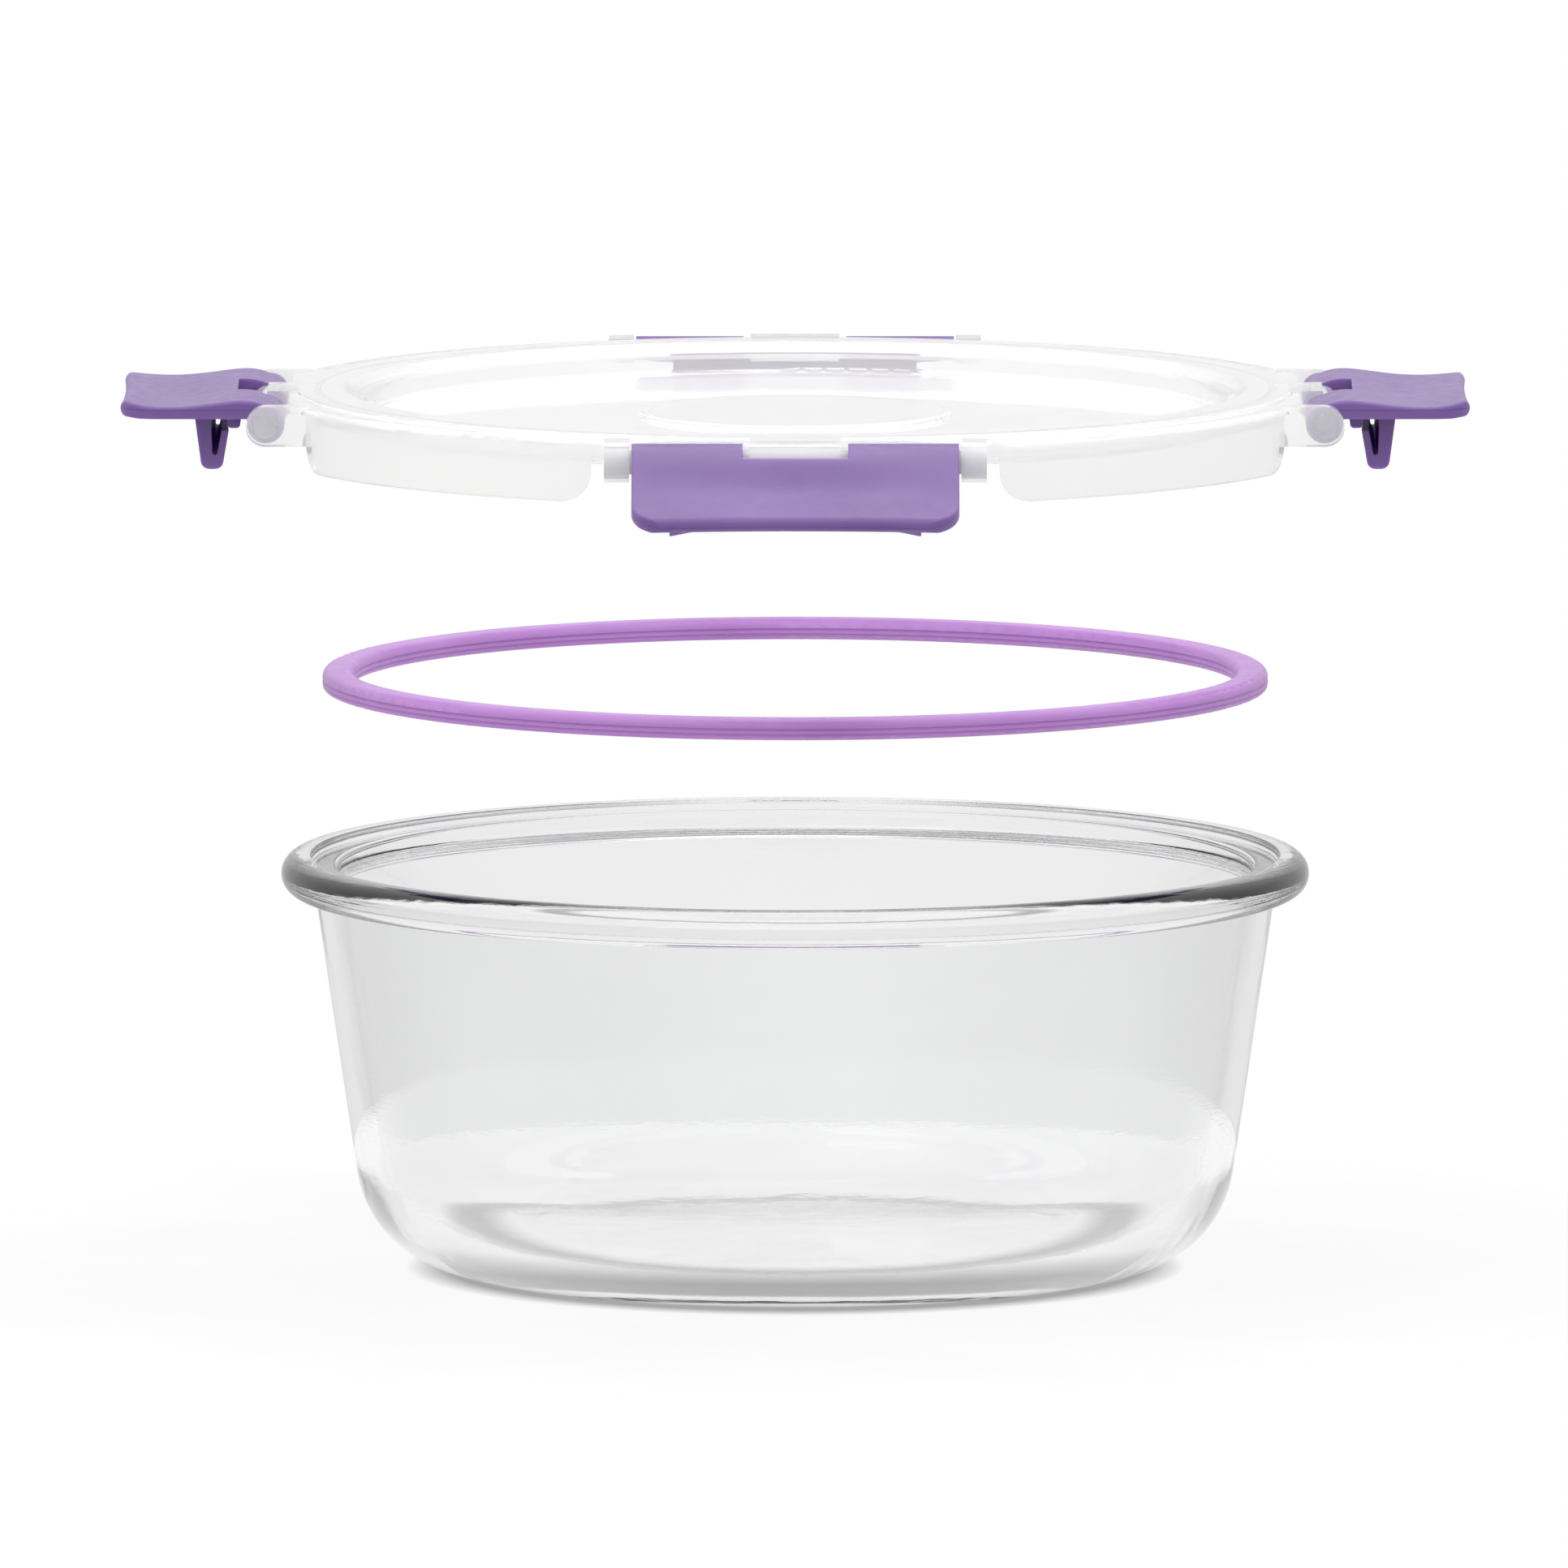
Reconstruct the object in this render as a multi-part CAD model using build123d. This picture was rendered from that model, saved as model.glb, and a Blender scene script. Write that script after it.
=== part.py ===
from build123d import *

import math
import os

# Round glass food container with a snap lid: a pressed glass bowl, a silicone gasket, a clear
# lid and four hinged latches. Millimetres, +Z up, origin at the centre of the bowl's foot.
# The four latches face +X (right), +Y (rear), -X (left) and -Y (front).
# It is drawn taken apart: the gasket and the lid hang above the bowl, and the latches are open.
# Heights below are those of the closed container, unless they are called a lift.

# Lifts and latch swings of the drawn state
LID_LIFT = 72.3
GASKET_LIFT = 28.3
LATCHES = {"right": (0, 0), "rear": (90, -26), "left": (180, 0), "front": (270, -26)}  # facing, swing

# Glass bowl
BOWL_HEIGHT = 67.0
RIM_RADIUS = 83.0
BEAD_ROUND = 3.1            # section radius of the rolled rim bead
NECK_RADIUS = 77.5          # outer wall just under the bead
WALL_TAPER = 8.4            # degrees from upright
WALL = 4.2                  # measured level, across the sloping wall
FLOOR = 4.6
LIP_INNER_RADIUS = 78.2     # inner face of the raised lip that the lid's rib drops into
LEDGE_DROP = 1.6            # the gasket's seat lies this far below the rim
FOOT_RADIUS = 46.5
FOOT_RECESS = 0.5
OUTER_CORNER = 18.0
INNER_CORNER = 15.0

# Gasket
GASKET_INNER_RADIUS = 71.3
GASKET_WIDTH = 5.0
GASKET_HEIGHT = 3.4
GASKET_GROOVES = 2          # on each side
GROOVE_DEPTH = 0.2
GASKET_PLAY = 0.1           # above and below the gasket, because nothing here is squeezed

# Lid
LID_TOP = 70.4
PLATE = 1.4
RING_INNER_RADIUS = 72.7
RING_STEP_RADIUS = 80.2
RING_STEP = 0.4
SKIRT_OUTER_RADIUS = 84.9
SKIRT_INNER_RADIUS = 83.4
SKIRT_HEIGHT = 10.6
RIB_INNER_RADIUS = 76.6
RIB_OUTER_RADIUS = 77.6
RIB_DEPTH = 2.8
PANEL_DROP = 4.6            # the middle panel lies this far below the ring
PANEL_WALL_RADIUS = 71.0
PAD_RADIUS = 25.0
PAD_HEIGHT = 0.8
WINDOW_HALF = 32.5          # half width of each opening in the skirt
WINDOW_CORNER = 5.0
EDGE_CHORD = 81.2           # the ring is cut straight behind each latch

# Hinges
HINGE_RADIUS = 85.0
HINGE_DROP = 3.4            # below the lid's top
PIN_RADIUS = 1.9
RUNNING_CLEARANCE = 0.05
BARREL_RADIUS = 3.0
LATCH_HALF = 26.0
SIDE_GAP = 0.4
OUTER_LUG_WIDTH = 4.0
OUTER_LUG_RADIUS = 3.2
OUTER_LUG_REACH = 7.0
CENTRE_LUG_HALF = 7.25
CENTRE_LUG_RADIUS = 2.85
CENTRE_LUG_REACH = 8.0
NOTCH_HALF = 8.4
NOTCH_DEPTH = 4.8

# Latch flap and hook, measured outwards from the hinge line (u) and up (v) with the flap level
FLAP_LENGTH = 23.6
FLAP_CORNER = 6.5
FLAP_EDGE_ROUND = 0.5
FLAP_UNDERSIDE = 0.8
END_VALLEY = 14.0           # the valley across the flap lies further out at its ends
MIDDLE_VALLEY = 11.0
VALLEY_WIDTH = 4.0
LIP_HOLLOW = 0.6            # the lip is hollowed by this much in the middle
HOOK_HALF = 20.0
HOOK_END_ROUND = 1.0
HOOK_TIP_RADIUS = 79.5      # about the bowl's axis, when closed
HOOK_BARB_TOP = -1.6
STOP_RIB_BOTTOM = -1.25

LEDGE = BOWL_HEIGHT - LEDGE_DROP
ROOF = LID_TOP - PLATE
HINGE_HEIGHT = LID_TOP - HINGE_DROP
SKIRT_BOTTOM = LID_TOP - SKIRT_HEIGHT
PANEL_TOP = LID_TOP - PANEL_DROP
BEAD_HEIGHT = BOWL_HEIGHT - BEAD_ROUND
PIN_HALF = LATCH_HALF + SIDE_GAP + OUTER_LUG_WIDTH
WALL_SLOPE = math.tan(math.radians(WALL_TAPER))


def rounded_outline(corners):
    """Closed outline from (across, up, corner radius) points."""
    outline = make_face(Polyline(*[(x, y) for x, y, radius in corners], close=True))
    for x, y, radius in corners:
        if radius:
            corner = outline.vertices().sort_by_distance((x, y, 0))[0]
            outline = fillet(corner, radius)
    return outline


def lathe(corners):
    """Solid turned about the Z axis from (radius, height, corner radius) points."""
    return revolve(Plane.XZ * rounded_outline(corners), Axis.Z)


def glass_bowl():
    """Tapered bowl with a rolled rim bead outside and a gasket ledge inside."""
    bead_bottom = BOWL_HEIGHT - 2 * BEAD_ROUND
    foot_corner = NECK_RADIUS - bead_bottom * WALL_SLOPE
    ledge_radius = NECK_RADIUS + (LEDGE - bead_bottom) * WALL_SLOPE - WALL
    floor_corner = ledge_radius - (LEDGE - FLOOR) * WALL_SLOPE
    bead_corner = BEAD_ROUND - 0.05
    return lathe([
        (0, FOOT_RECESS, 0),
        (FOOT_RADIUS - 5.0, FOOT_RECESS, 12.0),
        (FOOT_RADIUS, 0, 12.0),
        (foot_corner, 0, OUTER_CORNER),
        (NECK_RADIUS, bead_bottom, 0.8),
        (RIM_RADIUS, bead_bottom, bead_corner),
        (RIM_RADIUS, BOWL_HEIGHT, bead_corner),
        (LIP_INNER_RADIUS, BOWL_HEIGHT, 0.5),
        (LIP_INNER_RADIUS, LEDGE, 0.8),
        (ledge_radius, LEDGE, 1.2),
        (floor_corner, FLOOR, INNER_CORNER),
        (0, FLOOR, 0),
    ])


def gasket():
    """Silicone ring with shallow grooves round both sides."""
    outer = GASKET_INNER_RADIUS + GASKET_WIDTH
    bottom = LEDGE + GASKET_PLAY
    ring = lathe([
        (GASKET_INNER_RADIUS, bottom, 0.9),
        (outer, bottom, 0.9),
        (outer, bottom + GASKET_HEIGHT, 1.4),
        (GASKET_INNER_RADIUS, bottom + GASKET_HEIGHT, 1.4),
    ])
    for index in range(GASKET_GROOVES):
        height = bottom + GASKET_HEIGHT * (index + 1) / (GASKET_GROOVES + 2)
        for radius in (GASKET_INNER_RADIUS, outer):
            ring -= Pos(0, 0, height) * Torus(radius, GROOVE_DEPTH)
    return ring


def lid_disc():
    """The turned part of the lid: sunk panel, ring, gasket rib and full skirt."""
    step_top = LID_TOP - RING_STEP
    panel_bottom = PANEL_TOP - PLATE
    return lathe([
        (0, PANEL_TOP + PAD_HEIGHT, 0),
        (PAD_RADIUS, PANEL_TOP + PAD_HEIGHT, 0.4),
        (PAD_RADIUS, PANEL_TOP, 0.3),
        (PANEL_WALL_RADIUS - 2.6, PANEL_TOP, 1.2),
        (PANEL_WALL_RADIUS - 1.4, ROOF - 0.2, 1.2),
        (RING_INNER_RADIUS, LID_TOP, 0.6),
        (RING_STEP_RADIUS, LID_TOP, 0.3),
        (RING_STEP_RADIUS + 0.3, step_top, 0.1),
        (SKIRT_OUTER_RADIUS, step_top, 1.0),
        (SKIRT_OUTER_RADIUS, SKIRT_BOTTOM, 0.4),
        (SKIRT_INNER_RADIUS, SKIRT_BOTTOM, 0.4),
        (SKIRT_INNER_RADIUS, ROOF, 0.8),
        (RIB_OUTER_RADIUS, ROOF, 0.2),
        (RIB_OUTER_RADIUS, ROOF - RIB_DEPTH, 0.3),
        (RIB_INNER_RADIUS, ROOF - RIB_DEPTH, 0.3),
        (RIB_INNER_RADIUS, ROOF, 0.2),
        (PANEL_WALL_RADIUS, ROOF, 0.2),
        (PANEL_WALL_RADIUS, panel_bottom, 1.0),
        (PAD_RADIUS - PLATE, panel_bottom, 0.3),
        (PAD_RADIUS - PLATE, panel_bottom + PAD_HEIGHT, 0.3),
        (0, panel_bottom + PAD_HEIGHT, 0),
    ])


def skirt_window():
    """Cutter for one opening in the skirt, flared at its foot so the skirt's corners are round."""
    depth = ROOF - SKIRT_BOTTOM
    opening = Pos(0, depth / 2) * Rectangle(2 * WINDOW_HALF, depth)
    opening += Pos(0, -1) * Rectangle(2 * WINDOW_HALF + 2 * WINDOW_CORNER, 2)
    for side in (-1, 1):
        corner = Pos(side * (WINDOW_HALF + WINDOW_CORNER / 2), WINDOW_CORNER / 2)
        round_edge = Pos(side * (WINDOW_HALF + WINDOW_CORNER), WINDOW_CORNER) * Circle(WINDOW_CORNER)
        opening += corner * Rectangle(WINDOW_CORNER, WINDOW_CORNER) - round_edge
    cutter = extrude(Plane.YZ * opening, SKIRT_OUTER_RADIUS + 5)
    core = Cylinder((RIB_OUTER_RADIUS + SKIRT_INNER_RADIUS) / 2, 4 * depth)
    return Pos(0, 0, SKIRT_BOTTOM) * (cutter - core)


def edge_cut():
    """Cutter that squares off the ring behind one latch barrel."""
    half = LATCH_HALF + SIDE_GAP
    return Pos(EDGE_CHORD + 5, 0, ROOF) * Box(10, 2 * half, 30)


def hinge_lug(middle, width, radius, reach, top):
    """Lug round the hinge pin, centred at the given place along the hinge line."""
    body = Circle(radius) + Pos(-reach / 2, (top - radius) / 2) * Rectangle(reach, top + radius)
    body -= Pos(0, top + radius) * Rectangle(4 * reach, 2 * radius)
    lug = extrude(Plane.XZ * body, width / 2, both=True)
    return Pos(HINGE_RADIUS, middle, HINGE_HEIGHT) * lug


def rim_clearance():
    """The room that the bowl's bead needs under the lid, on its straight way down."""
    room = SKIRT_INNER_RADIUS - RIM_RADIUS
    top = BOWL_HEIGHT + room
    return lathe([
        (RIB_OUTER_RADIUS - 12, 0, 0),
        (SKIRT_INNER_RADIUS, 0, 0),
        (SKIRT_INNER_RADIUS, top, BEAD_ROUND + room),
        (RIB_OUTER_RADIUS - 12, top, 0),
    ])


def pin_rod(radius, half_length):
    """Round bar along one hinge line, facing +X."""
    return Pos(HINGE_RADIUS, 0, HINGE_HEIGHT) * Rot(X=90) * Cylinder(radius, 2 * half_length)


def lid_shell():
    """Clear lid moulding with four skirt segments and three lugs for each latch."""
    lid = lid_disc()
    lugs = hinge_lug(0, 2 * CENTRE_LUG_HALF, CENTRE_LUG_RADIUS, CENTRE_LUG_REACH, HINGE_DROP)
    outer_middle = LATCH_HALF + SIDE_GAP + OUTER_LUG_WIDTH / 2
    for side in (-1, 1):
        lugs += hinge_lug(side * outer_middle, OUTER_LUG_WIDTH, OUTER_LUG_RADIUS, OUTER_LUG_REACH,
                          OUTER_LUG_RADIUS)
    lugs -= rim_clearance()
    for facing, swing in LATCHES.values():
        lid -= Rot(Z=facing) * (skirt_window() + edge_cut())
        lid += Rot(Z=facing) * lugs
        lid -= Rot(Z=facing) * pin_rod(PIN_RADIUS, PIN_HALF + 1)
    return lid


def flap_section(place, lip, valley, valley_height):
    """Section of the flap at one place along the hinge line, with its valley where it is told."""
    lip_top = (lip - 1.2, 3.45)
    lip_foot = (lip - 0.8, FLAP_UNDERSIDE + 0.2)
    valley_end = (valley + VALLEY_WIDTH, valley_height)
    top = Spline((0, BARREL_RADIUS), (2.6, 3.75), (6.5, 3.6), (valley, valley_height), valley_end, lip_top)
    front = ThreePointArc(lip_top, (lip, 2.4), lip_foot)
    under = Polyline(lip_foot, (lip - 3, FLAP_UNDERSIDE), (0, FLAP_UNDERSIDE), (0, BARREL_RADIUS))
    return Pos(0, place, 0) * (Plane.XZ * make_face([top, front, under]))


def flap():
    """Thumb flap with its barrel: an arched valley across the top and a raised lip."""
    end = (FLAP_LENGTH, END_VALLEY, 2.8)
    middle = (FLAP_LENGTH - LIP_HOLLOW, MIDDLE_VALLEY, 2.45)
    bar = loft([
        flap_section(-LATCH_HALF, *end),
        flap_section(0, *middle),
        flap_section(LATCH_HALF, *end),
    ])
    bar += Rot(X=90) * Cylinder(BARREL_RADIUS, 2 * LATCH_HALF)
    start = -BARREL_RADIUS
    plan = rounded_outline([
        (start, -LATCH_HALF, 0),
        (FLAP_LENGTH, -LATCH_HALF, FLAP_CORNER),
        (FLAP_LENGTH, LATCH_HALF, FLAP_CORNER),
        (start, LATCH_HALF, 0),
    ])
    bar &= extrude(plan, 2 * BARREL_RADIUS, both=True)
    ends = [edge for edge in bar.edges() if abs(edge.center().Y) > HOOK_HALF]
    upper = [edge for edge in ends if edge.center().Z > 2.5]
    return fillet(upper, FLAP_EDGE_ROUND)


def hook():
    """V-shaped hook under the flap, curved about the bowl's axis so that it follows the bead."""
    tip = HOOK_TIP_RADIUS - HINGE_RADIUS
    above = tip + 12
    section = rounded_outline([
        (12.0, above, 0),
        (10.35, tip, 1.6),
        (7.15, tip, 1.55),
        (5.0, above, 0),
        (6.0, above, 0),
        (8.0, tip + 2.0, 0.4),
        (8.7, tip + 2.6, 0.4),
        (9.0, above, 0),
    ])
    bowl_axis = Axis((0, 0, -HINGE_RADIUS), (1, 0, 0))
    half_turn = 20
    curved = revolve(Plane.XZ * section, bowl_axis, half_turn)
    curved += revolve(Plane.XZ * section, bowl_axis, -half_turn)
    top = FLAP_UNDERSIDE + 0.4
    end_tip = math.sqrt(HOOK_TIP_RADIUS ** 2 - HOOK_HALF ** 2) - HINGE_RADIUS
    ends = rounded_outline([
        (-HOOK_HALF, top, 0),
        (HOOK_HALF, top, 0),
        (HOOK_HALF, end_tip, HOOK_END_ROUND),
        (-HOOK_HALF, end_tip, HOOK_END_ROUND),
    ])
    room = extrude(Plane.YZ * ends, 20)
    above_barb = Pos(0, 0, HOOK_BARB_TOP + 10) * Box(17.6, 2 * HOOK_HALF, 20)
    return curved & (room - above_barb)


def stop_rib():
    """Low rib under the flap that meets the bead when the latch is shut."""
    top = FLAP_UNDERSIDE + 0.4
    section = rounded_outline([
        (4.2, STOP_RIB_BOTTOM, 0.6),
        (6.2, STOP_RIB_BOTTOM, 0.6),
        (6.2, top, 0),
        (4.2, top, 0),
    ])
    return extrude(Plane.XZ * section, HOOK_HALF, both=True)


def latch():
    """One whole latch in its own frame: hinge line along Y through the origin, flap along +X."""
    body = flap() + hook() + stop_rib()
    notch = Pos(NOTCH_DEPTH - 10, 0, 0) * Box(20, 2 * NOTCH_HALF, 4 * BARREL_RADIUS)
    bore = Rot(X=90) * Cylinder(PIN_RADIUS + RUNNING_CLEARANCE, 4 * LATCH_HALF)
    return body - notch - bore


def placed_latch(shape, facing, swing):
    """A latch swung up by the given angle, at its hinge on the lifted lid."""
    hinge = Pos(HINGE_RADIUS, 0, HINGE_HEIGHT + LID_LIFT)
    return Rot(Z=facing) * hinge * Rot(Y=-swing) * shape


def main():
    os.makedirs("parts", exist_ok=True)
    lifted = Pos(0, 0, LID_LIFT)
    nodes = {
        "glass_bowl": glass_bowl(),
        "gasket_ring": Pos(0, 0, GASKET_LIFT) * gasket(),
        "lid_shell": lifted * lid_shell(),
    }
    one_latch = latch()
    one_pin = lifted * pin_rod(PIN_RADIUS, PIN_HALF)
    for name, (facing, swing) in LATCHES.items():
        nodes[name + "_latch"] = placed_latch(one_latch, facing, swing)
        nodes[name + "_hinge_pin"] = Rot(Z=facing) * one_pin
    for name, shape in nodes.items():
        export_step(shape, "parts/" + name + ".step")


main()
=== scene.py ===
import math

import bpy
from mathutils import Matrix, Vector


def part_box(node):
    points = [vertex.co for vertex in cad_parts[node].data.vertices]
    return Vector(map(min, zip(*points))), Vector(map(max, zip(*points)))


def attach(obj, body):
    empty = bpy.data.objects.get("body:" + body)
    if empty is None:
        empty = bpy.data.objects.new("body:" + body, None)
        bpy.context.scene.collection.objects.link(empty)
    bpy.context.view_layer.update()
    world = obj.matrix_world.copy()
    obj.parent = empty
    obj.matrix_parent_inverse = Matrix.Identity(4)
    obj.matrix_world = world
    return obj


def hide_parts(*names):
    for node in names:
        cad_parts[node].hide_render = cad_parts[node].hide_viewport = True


# Glass food container, taken apart in a white studio: the glass bowl stands on the floor, and the
# gasket and the lid with its four latches hang above it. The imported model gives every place.
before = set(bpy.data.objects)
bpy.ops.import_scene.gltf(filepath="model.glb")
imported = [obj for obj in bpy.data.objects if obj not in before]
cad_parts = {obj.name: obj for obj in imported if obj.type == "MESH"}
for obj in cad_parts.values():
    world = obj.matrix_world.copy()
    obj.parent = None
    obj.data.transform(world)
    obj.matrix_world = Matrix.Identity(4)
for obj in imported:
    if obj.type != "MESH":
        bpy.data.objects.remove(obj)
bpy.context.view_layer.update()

MM = 0.001
SIDES = {"right": (0, 0), "rear": (90, -26), "left": (180, 0), "front": (270, -26)}  # facing, swing

# Camera: a long lens, a little above the container, looking along +Y
FRAME_WIDTH = 0.2532            # what the picture spans at the container's axis, in metres
LENS = 800.0                    # millimetres on a 36 mm sensor
SENSOR = 36.0
ELEVATION = math.radians(6.5)
AIM = Vector((-0.0018, 0.0, 0.0782))

# Bowl section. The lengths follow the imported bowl, whose box gives the rim and the height.
BEAD_ROUND = 3.1 * MM
NECK_INSET = 5.5 * MM           # from the rim in to the wall under the bead
WALL_TAPER = math.radians(8.4)
WALL = 4.2 * MM
BOWL_FLOOR = 4.6 * MM
LIP_WIDTH = 4.8 * MM
LEDGE_DROP = 1.6 * MM
FOOT_RADIUS = 46.5 * MM
FOOT_RECESS = 0.5 * MM
FOOT_SLOPE = 5.0 * MM           # the sloping edge of the recess reaches this far in
FOOT_ROUND = 12.0 * MM
NECK_ROUND = 0.8 * MM
LIP_ROUND = 0.5 * MM
SEAT_ROUND = 0.8 * MM
LEDGE_ROUND = 1.2 * MM
OUTER_CORNER = 18.0 * MM
INNER_CORNER = 15.0 * MM
BOWL_SEGMENTS = 288
CORNER_STEPS = 14
FLOOR_SIDES = 96

# Hinge lines of the lifted lid, and the parting line round each latch's edge: a groove with painted shade
# in its colour
HINGE_RADIUS = 85.0 * MM
HINGE_HEIGHT = 139.3 * MM
PARTING_LINE = 2.2 * MM         # above the hinge line
PARTING_HALF = 0.12 * MM

# Studio floor, with the soft ring of shade round the bowl's foot
STAGE_RADIUS = 160.0 * MM
SHADE_INNER = 47.0 * MM
SHADE_OUTER = 63.0 * MM


# ---------------------------------------------------------------- node helpers

def new_material(name):
    """A material with nothing in its tree but the output and one Principled shader."""
    material = bpy.data.materials.new(name)
    material.use_nodes = True
    tree = material.node_tree
    tree.nodes.clear()
    output = tree.nodes.new("ShaderNodeOutputMaterial")
    shader = tree.nodes.new("ShaderNodeBsdfPrincipled")
    tree.links.new(shader.outputs["BSDF"], output.inputs["Surface"])
    return material, tree, shader


def noise(tree, scale, detail=3.0, roughness=0.5, stretch=(1, 1, 1)):
    """Noise in object space. Stretch multiplies the coordinates along X, Y and Z."""
    coordinates = tree.nodes.new("ShaderNodeTexCoord")
    mapping = tree.nodes.new("ShaderNodeMapping")
    mapping.inputs["Scale"].default_value = stretch
    texture = tree.nodes.new("ShaderNodeTexNoise")
    texture.inputs["Scale"].default_value = scale
    texture.inputs["Detail"].default_value = detail
    texture.inputs["Roughness"].default_value = roughness
    tree.links.new(coordinates.outputs["Object"], mapping.inputs["Vector"])
    tree.links.new(mapping.outputs["Vector"], texture.inputs["Vector"])
    return texture.outputs["Fac"]


def spread(tree, value, low, high, from_low=0.3, from_high=0.7):
    """Maps a value's usual range onto another range."""
    node = tree.nodes.new("ShaderNodeMapRange")
    node.inputs["From Min"].default_value = from_low
    node.inputs["From Max"].default_value = from_high
    node.inputs["To Min"].default_value = low
    node.inputs["To Max"].default_value = high
    tree.links.new(value, node.inputs["Value"])
    return node.outputs["Result"]


def ramp(tree, value, stops):
    """Colour ramp through (position, colour) stops."""
    node = tree.nodes.new("ShaderNodeValToRGB")
    elements = node.color_ramp.elements
    while len(elements) < len(stops):
        elements.new(0.5)
    for element, (position, colour) in zip(elements, stops):
        element.position = position
        element.color = (*colour, 1.0)
    tree.links.new(value, node.inputs["Fac"])
    return node.outputs["Color"]


def multiply(tree, first, second):
    """One colour times another."""
    node = tree.nodes.new("ShaderNodeMix")
    node.data_type = "RGBA"
    node.blend_type = "MULTIPLY"
    node.inputs["Factor"].default_value = 1.0
    tree.links.new(first, node.inputs["A"])
    tree.links.new(second, node.inputs["B"])
    return node.outputs["Result"]


def bump(tree, shader, layers, normal=None):
    """Chains bump layers of (height, strength, distance in metres) into the shader's normal."""
    for height, strength, distance in layers:
        node = tree.nodes.new("ShaderNodeBump")
        node.inputs["Strength"].default_value = strength
        node.inputs["Distance"].default_value = distance
        tree.links.new(height, node.inputs["Height"])
        if normal is not None:
            tree.links.new(normal, node.inputs["Normal"])
        normal = node.outputs["Normal"]
    tree.links.new(normal, shader.inputs["Normal"])


# ------------------------------------------------------------------- materials

def glass_material():
    """Clear pressed glass, greyer where it is thick, with the slight waviness of its mould."""
    material, tree, shader = new_material("pressed_glass")
    tint = noise(tree, 18, 2)
    tree.links.new(ramp(tree, tint, [(0.3, (0.95, 0.953, 0.953)), (0.7, (0.972, 0.975, 0.975))]),
                   shader.inputs["Base Color"])
    smears = noise(tree, 60, 4)
    tree.links.new(spread(tree, smears, 0.0, 0.03), shader.inputs["Roughness"])
    shader.inputs["Transmission Weight"].default_value = 1.0
    shader.inputs["IOR"].default_value = 1.47
    waves = noise(tree, 55, 2, stretch=(1, 1, 0.6))
    streaks = noise(tree, 300, 3, stretch=(1, 1, 6))
    bump(tree, shader, [(waves, 0.25, 0.0004), (streaks, 0.05, 0.0001)])
    body = tree.nodes.new("ShaderNodeVolumeAbsorption")
    body.inputs["Color"].default_value = (0.0, 0.01, 0.01, 1.0)
    body.inputs["Density"].default_value = 2.5
    tree.links.new(body.outputs["Volume"], tree.get_output_node("ALL").inputs["Volume"])
    return material


def lid_material():
    """Clear moulded plastic that is faintly milky, with flow marks."""
    material, tree, shader = new_material("clear_plastic")
    tint = noise(tree, 30, 3)
    tree.links.new(ramp(tree, tint, [(0.3, (0.97, 0.97, 0.965)), (0.7, (0.99, 0.99, 0.985))]),
                   shader.inputs["Base Color"])
    haze = noise(tree, 120, 4)
    tree.links.new(spread(tree, haze, 0.02, 0.08), shader.inputs["Roughness"])
    shader.inputs["Transmission Weight"].default_value = 0.7
    shader.inputs["IOR"].default_value = 1.35
    flow = noise(tree, 90, 3, stretch=(1, 1, 3))
    bump(tree, shader, [(flow, 0.12, 0.0002)])
    return material


def latch_height(tree, facing, swing):
    """Height above the hinge line in one latch's own frame, whichever way it faces and swings."""
    coordinates = tree.nodes.new("ShaderNodeTexCoord")
    to_hinge = tree.nodes.new("ShaderNodeMapping")
    to_hinge.inputs["Rotation"].default_value = (0, 0, -math.radians(facing))
    to_hinge.inputs["Location"].default_value = (-HINGE_RADIUS, 0, -HINGE_HEIGHT)
    level = tree.nodes.new("ShaderNodeMapping")
    level.inputs["Rotation"].default_value = (0, math.radians(swing), 0)
    parts = tree.nodes.new("ShaderNodeSeparateXYZ")
    tree.links.new(coordinates.outputs["Object"], to_hinge.inputs["Vector"])
    tree.links.new(to_hinge.outputs["Vector"], level.inputs["Vector"])
    tree.links.new(level.outputs["Vector"], parts.inputs["Vector"])
    return parts.outputs["Z"]


def latch_material(name, facing, swing):
    """Satin purple plastic with a fine moulded grain, a parting line whose groove has painted shade
    darkening its colour, and softly lit edges.
    """
    material, tree, shader = new_material(name)
    mottle = noise(tree, 60, 4)
    body = ramp(tree, mottle, [(0.3, (0.158, 0.083, 0.275)), (0.7, (0.187, 0.104, 0.315))])
    height = latch_height(tree, facing, swing)
    line = spread(tree, height, 0.0, 1.0, PARTING_LINE - PARTING_HALF, PARTING_LINE + PARTING_HALF)
    # Parting line: a real groove in the bump, plus painted shade that darkens the colour along it
    groove_and_painted_shade = ramp(tree, line, [
        (0.0, (1.0, 1.0, 1.0)),
        (0.5, (0.55, 0.5, 0.6)),
        (1.0, (1.0, 1.0, 1.0)),
    ])
    tree.links.new(multiply(tree, body, groove_and_painted_shade), shader.inputs["Base Color"])
    sheen = noise(tree, 500, 3)
    tree.links.new(spread(tree, sheen, 0.3, 0.42), shader.inputs["Roughness"])
    shader.inputs["Subsurface Weight"].default_value = 0.5
    shader.inputs["Subsurface Radius"].default_value = (0.8, 0.6, 1.0)
    shader.inputs["Subsurface Scale"].default_value = 0.005
    edges = tree.nodes.new("ShaderNodeBevel")
    edges.samples = 4
    edges.inputs["Radius"].default_value = 0.4 * MM
    grain = noise(tree, 2600, 2)
    bump(tree, shader, [(groove_and_painted_shade, 0.6, 0.0001), (grain, 0.12, 0.00005)], edges.outputs["Normal"])
    return material


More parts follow.
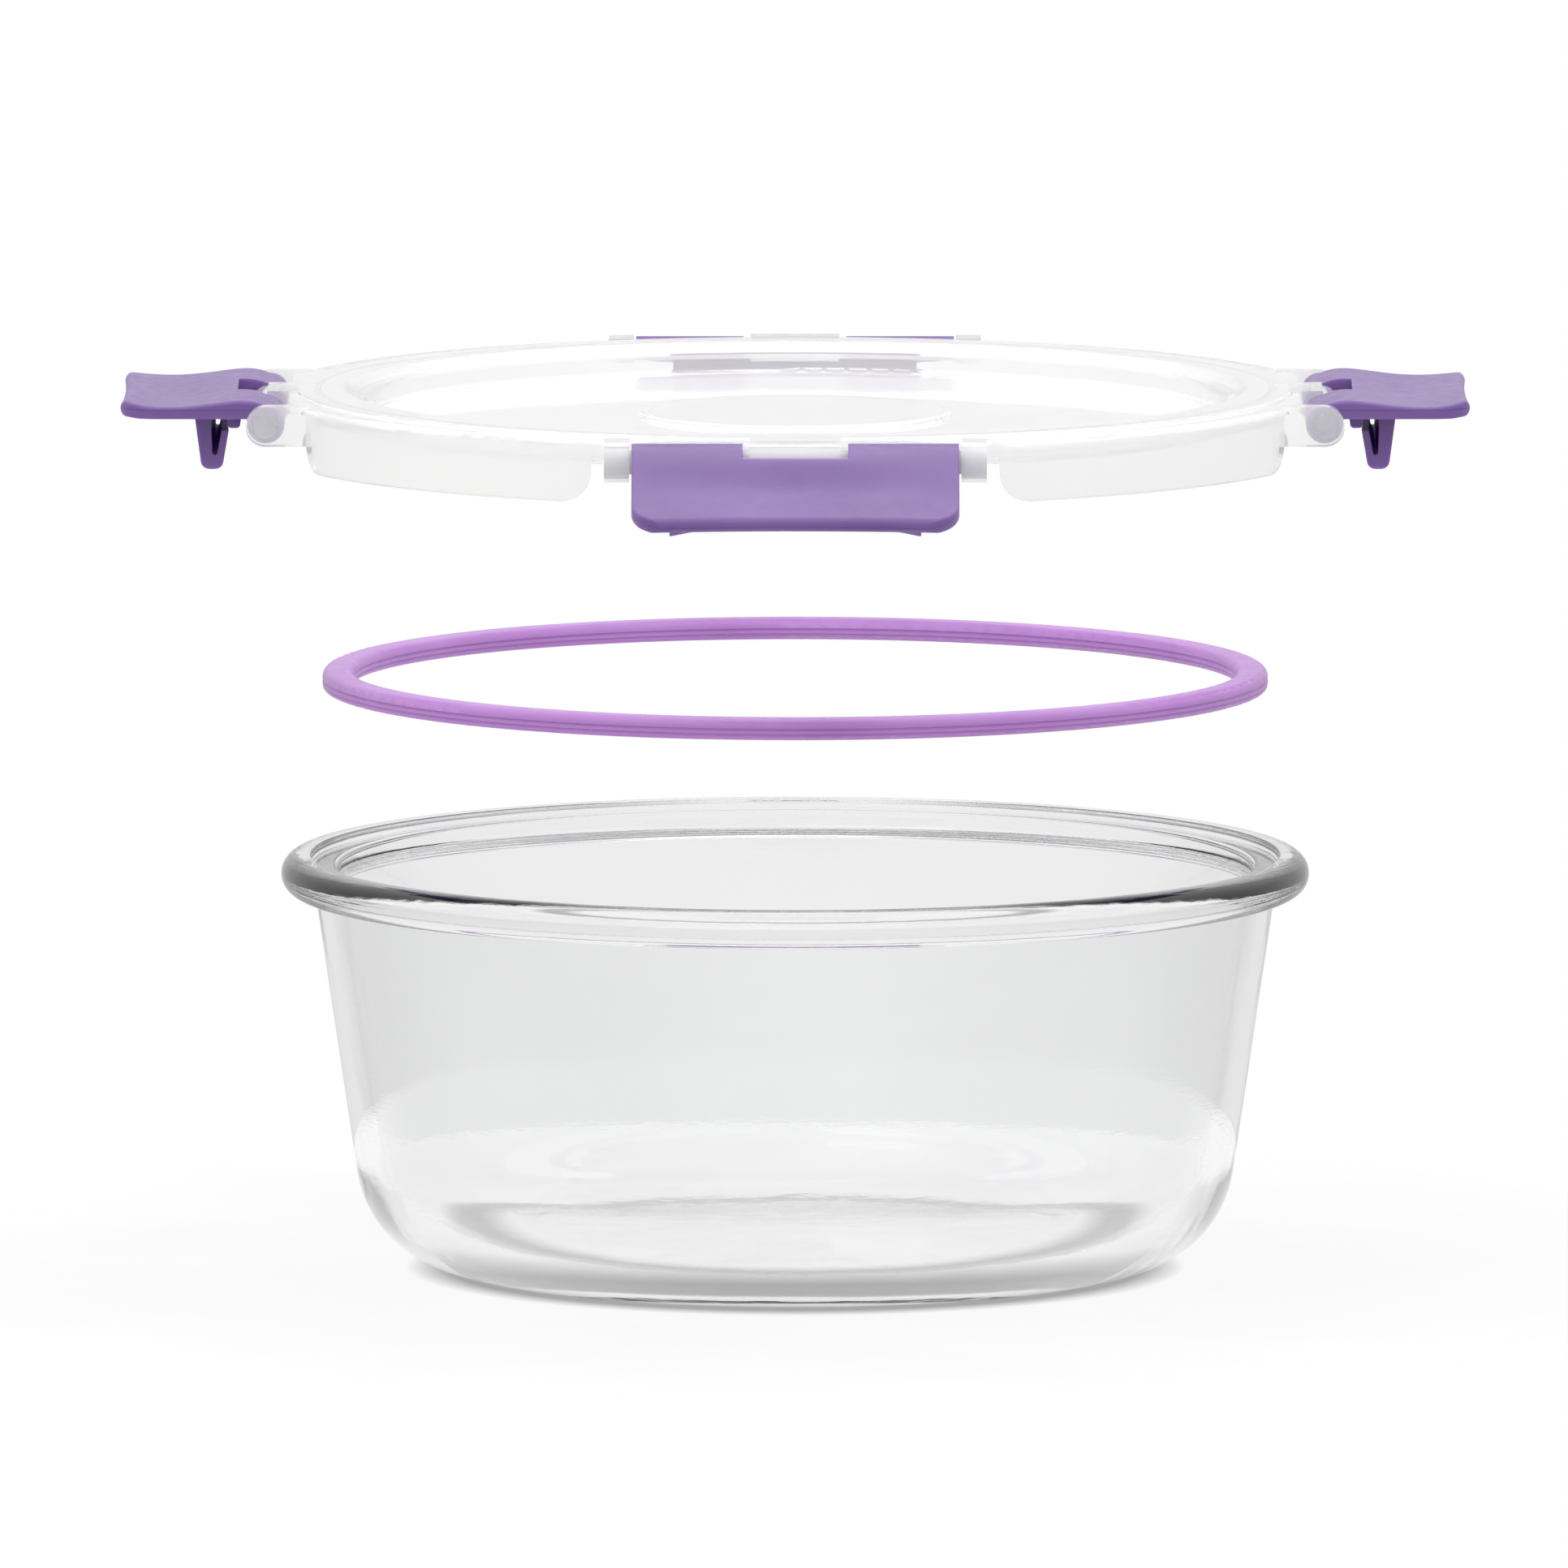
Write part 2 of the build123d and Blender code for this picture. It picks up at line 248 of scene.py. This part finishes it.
def gasket_material():
    """Soft orchid silicone with fine lines along the moulding."""
    material, tree, shader = new_material("orchid_silicone")
    body = noise(tree, 40, 3)
    tree.links.new(ramp(tree, body, [(0.3, (0.42, 0.195, 0.53)), (0.7, (0.47, 0.235, 0.59))]),
                   shader.inputs["Base Color"])
    bloom = noise(tree, 350, 4)
    tree.links.new(spread(tree, bloom, 0.3, 0.45), shader.inputs["Roughness"])
    shader.inputs["Subsurface Weight"].default_value = 0.35
    shader.inputs["Subsurface Radius"].default_value = (1.0, 0.6, 1.0)
    shader.inputs["Subsurface Scale"].default_value = 0.003
    lines = noise(tree, 260, 2, stretch=(0.3, 0.3, 8))
    skin = noise(tree, 2200, 3)
    bump(tree, shader, [(lines, 0.15, 0.00015), (skin, 0.12, 0.00005)])
    return material


def pin_material():
    """Greyish translucent rod with turned marks."""
    material, tree, shader = new_material("pin_plastic")
    tone = noise(tree, 400, 3)
    tree.links.new(ramp(tree, tone, [(0.3, (0.62, 0.61, 0.67)), (0.7, (0.7, 0.69, 0.75))]),
                   shader.inputs["Base Color"])
    tree.links.new(spread(tree, tone, 0.25, 0.4), shader.inputs["Roughness"])
    shader.inputs["Transmission Weight"].default_value = 0.25
    bump(tree, shader, [(noise(tree, 1500, 2), 0.1, 0.00005)])
    return material


def floor_material():
    """Plain pale studio floor, with the soft shade that the clear bowl doesn't cast by itself."""
    material, tree, shader = new_material("studio_floor")
    paper = noise(tree, 25, 3)
    pale = ramp(tree, paper, [(0.3, (0.715, 0.715, 0.715)), (0.7, (0.73, 0.73, 0.73))])
    coordinates = tree.nodes.new("ShaderNodeTexCoord")
    radius = tree.nodes.new("ShaderNodeVectorMath")
    radius.operation = "LENGTH"
    tree.links.new(coordinates.outputs["Object"], radius.inputs[0])
    across = spread(tree, radius.outputs["Value"], 0.0, 1.0, SHADE_INNER, SHADE_OUTER)
    shade = ramp(tree, across, [
        (0.0, (1.0, 1.0, 1.0)),
        (0.3, (0.4, 0.4, 0.4)),
        (0.6, (0.4, 0.4, 0.4)),
        (1.0, (1.0, 1.0, 1.0)),
    ])
    tree.links.new(multiply(tree, pale, shade), shader.inputs["Base Color"])
    shader.inputs["Roughness"].default_value = 0.9
    shader.inputs["Specular IOR Level"].default_value = 0.1
    return material


def paint(node, material):
    """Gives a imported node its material."""
    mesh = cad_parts[node].data
    mesh.materials.clear()
    mesh.materials.append(material)


def let_light_through(shape):
    """Clear pieces let the light through to what lies behind and inside them."""
    shape.visible_shadow = False
    shape.visible_diffuse = False


# ----------------------------------------------------------------- glass bowl

def rounded(corners):
    """Outline through (x, y, corner radius) points, with an arc at each rounded corner."""
    points = []
    count = len(corners)
    for index, (x, y, radius) in enumerate(corners):
        corner = Vector((x, y))
        if radius == 0:
            points.append(corner)
            continue
        before = Vector(corners[index - 1][:2]) - corner
        after = Vector(corners[(index + 1) % count][:2]) - corner
        half = before.angle(after) / 2
        middle = corner + (before.normalized() + after.normalized()).normalized() * radius / math.sin(half)
        start = corner + before.normalized() * radius / math.tan(half)
        end = corner + after.normalized() * radius / math.tan(half)
        sweep = (start - middle).angle_signed(end - middle)
        for step in range(CORNER_STEPS + 1):
            turn = -sweep * step / CORNER_STEPS
            offset = start - middle
            points.append(middle + Vector((
                offset.x * math.cos(turn) - offset.y * math.sin(turn),
                offset.x * math.sin(turn) + offset.y * math.cos(turn))))
    return points


def lathe_mesh(name, outline, segments):
    """Closed mesh turned about Z from an outline that starts and ends on the axis."""
    vertices = []
    faces = []
    inner = outline[1:-1]
    for segment in range(segments):
        angle = 2 * math.pi * segment / segments
        for point in inner:
            vertices.append((point.x * math.cos(angle), point.x * math.sin(angle), point.y))
    first_pole = len(vertices)
    vertices.append((0, 0, outline[0].y))
    vertices.append((0, 0, outline[-1].y))
    rows = len(inner)
    for segment in range(segments):
        here = segment * rows
        there = (segment + 1) % segments * rows
        for row in range(rows - 1):
            faces.append((here + row, there + row, there + row + 1, here + row + 1))
        faces.append((first_pole, there, here))
        faces.append((here + rows - 1, there + rows - 1, first_pole + 1))
    mesh = bpy.data.meshes.new(name)
    mesh.from_pydata(vertices, [], faces)
    mesh.validate()
    mesh.shade_smooth()
    return mesh


def glass_bowl(material):
    """The bowl, turned finely enough for clean refraction."""
    low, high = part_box("glass_bowl")
    rim = high.x
    top = high.z
    slope = math.tan(WALL_TAPER)
    bead_bottom = top - 2 * BEAD_ROUND
    ledge = top - LEDGE_DROP
    neck = rim - NECK_INSET
    foot_corner = neck - bead_bottom * slope
    ledge_radius = neck + (ledge - bead_bottom) * slope - WALL
    floor_corner = ledge_radius - (ledge - BOWL_FLOOR) * slope
    bead_corner = BEAD_ROUND - 0.05 * MM
    outline = rounded([
        (0, FOOT_RECESS, 0),
        (FOOT_RADIUS - FOOT_SLOPE, FOOT_RECESS, FOOT_ROUND),
        (FOOT_RADIUS, 0, FOOT_ROUND),
        (foot_corner, 0, OUTER_CORNER),
        (neck, bead_bottom, NECK_ROUND),
        (rim, bead_bottom, bead_corner),
        (rim, top, bead_corner),
        (rim - LIP_WIDTH, top, LIP_ROUND),
        (rim - LIP_WIDTH, ledge, SEAT_ROUND),
        (ledge_radius, ledge, LEDGE_ROUND),
        (floor_corner, BOWL_FLOOR, INNER_CORNER),
        (0, BOWL_FLOOR, 0),
    ])
    bowl = bpy.data.objects.new("bowl_glass", lathe_mesh("bowl_glass", outline, BOWL_SEGMENTS))
    bpy.context.scene.collection.objects.link(bowl)
    bowl.data.materials.append(material)
    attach(bowl, "bowl")
    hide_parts("glass_bowl")
    let_light_through(bowl)


# --------------------------------------------------------------------- studio

def studio_floor():
    """Round pale floor under the container."""
    mesh = bpy.data.meshes.new("floor")
    angles = [2 * math.pi * side / FLOOR_SIDES for side in range(FLOOR_SIDES)]
    ring = [(STAGE_RADIUS * math.cos(angle), STAGE_RADIUS * math.sin(angle), 0) for angle in angles]
    mesh.from_pydata(ring, [], [tuple(range(FLOOR_SIDES))])
    mesh.materials.append(floor_material())
    floor = bpy.data.objects.new("floor", mesh)
    floor.location.z = -0.0002
    bpy.context.scene.collection.objects.link(floor)


def background(tree, colour):
    """World light of one colour, or of the colour that a node gives."""
    node = tree.nodes.new("ShaderNodeBackground")
    if isinstance(colour, tuple):
        node.inputs["Color"].default_value = colour
    else:
        tree.links.new(colour, node.inputs["Color"])
    return node.outputs["Background"]


def either(tree, chosen, otherwise, when):
    """One shader when the given value is 1, and the other one when it is 0."""
    node = tree.nodes.new("ShaderNodeMixShader")
    tree.links.new(when, node.inputs["Fac"])
    tree.links.new(otherwise, node.inputs[1])
    tree.links.new(chosen, node.inputs[2])
    return node.outputs["Shader"]


def world_light():
    """White surroundings, with soft grey zones that only glass and gloss pick up."""
    world = bpy.data.worlds.new("studio")
    bpy.context.scene.world = world
    world.use_nodes = True
    tree = world.node_tree
    tree.nodes.clear()
    output = tree.nodes.new("ShaderNodeOutputWorld")
    coordinates = tree.nodes.new("ShaderNodeTexCoord")
    parts = tree.nodes.new("ShaderNodeSeparateXYZ")
    tree.links.new(coordinates.outputs["Generated"], parts.inputs["Vector"])

    height = ramp(tree, parts.outputs["Z"], [
        (0.14, (0.9, 0.9, 0.9)),
        (0.3, (0.95, 0.95, 0.95)),
    ])
    aside = tree.nodes.new("ShaderNodeMath")
    aside.operation = "ABSOLUTE"
    tree.links.new(parts.outputs["X"], aside.inputs[0])
    around = ramp(tree, aside.outputs["Value"], [
        (0.3, (1.0, 1.0, 1.0)),
        (0.7, (0.6, 0.6, 0.6)),
    ])
    sky = ramp(tree, parts.outputs["Z"], [
        (0.0, (0.72, 0.72, 0.72)),
        (0.25, (0.75, 0.75, 0.75)),
        (0.8, (1.5, 1.5, 1.5)),
    ])

    through_glass = background(tree, multiply(tree, height, around))
    shed = background(tree, sky)
    plain = background(tree, (1.0, 1.0, 1.0, 1.0))
    ray = tree.nodes.new("ShaderNodeLightPath")
    indirect = either(tree, through_glass, shed, ray.outputs["Is Transmission Ray"])
    surroundings = either(tree, plain, indirect, ray.outputs["Is Camera Ray"])
    tree.links.new(surroundings, output.inputs["Surface"])


def area_light(name, place, target, size, power):
    """Square soft light at a place, facing a target."""
    light = bpy.data.lights.new(name, "AREA")
    light.size = size
    light.energy = power
    lamp = bpy.data.objects.new(name, light)
    lamp.location = place
    lamp.rotation_euler = (Vector(target) - Vector(place)).to_track_quat("-Z", "Y").to_euler()
    bpy.context.scene.collection.objects.link(lamp)


def camera():
    """Long lens a few degrees above level."""
    data = bpy.data.cameras.new("camera")
    data.lens = LENS
    data.sensor_width = SENSOR
    data.clip_end = 50
    distance = LENS / SENSOR * FRAME_WIDTH
    lens = bpy.data.objects.new("camera", data)
    direction = Vector((0, -math.cos(ELEVATION), math.sin(ELEVATION)))
    lens.location = AIM + direction * distance
    lens.rotation_euler = (-direction).to_track_quat("-Z", "Y").to_euler()
    bpy.context.scene.collection.objects.link(lens)
    bpy.context.scene.camera = lens


def light_paths():
    """Enough bounces for the light that is reflected many times inside the thick glass."""
    cycles = bpy.context.scene.cycles
    cycles.max_bounces = 32
    cycles.glossy_bounces = 24
    cycles.transmission_bounces = 32


paint("lid_shell", lid_material())
let_light_through(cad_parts["lid_shell"])
paint("gasket_ring", gasket_material())
rod = pin_material()
for side, (facing, swing) in SIDES.items():
    paint(side + "_latch", latch_material(side + "_purple_plastic", facing, swing))
    paint(side + "_hinge_pin", rod)
glass_bowl(glass_material())

studio_floor()
world_light()
area_light("key", (-0.5, -1.1, 1.3), (0, 0, 0.08), 0.9, 2.5)
area_light("top", (0.2, 0.3, 1.5), (0, 0, 0.08), 1.2, 3)
camera()
light_paths()
bpy.context.scene.view_settings.view_transform = "Standard"
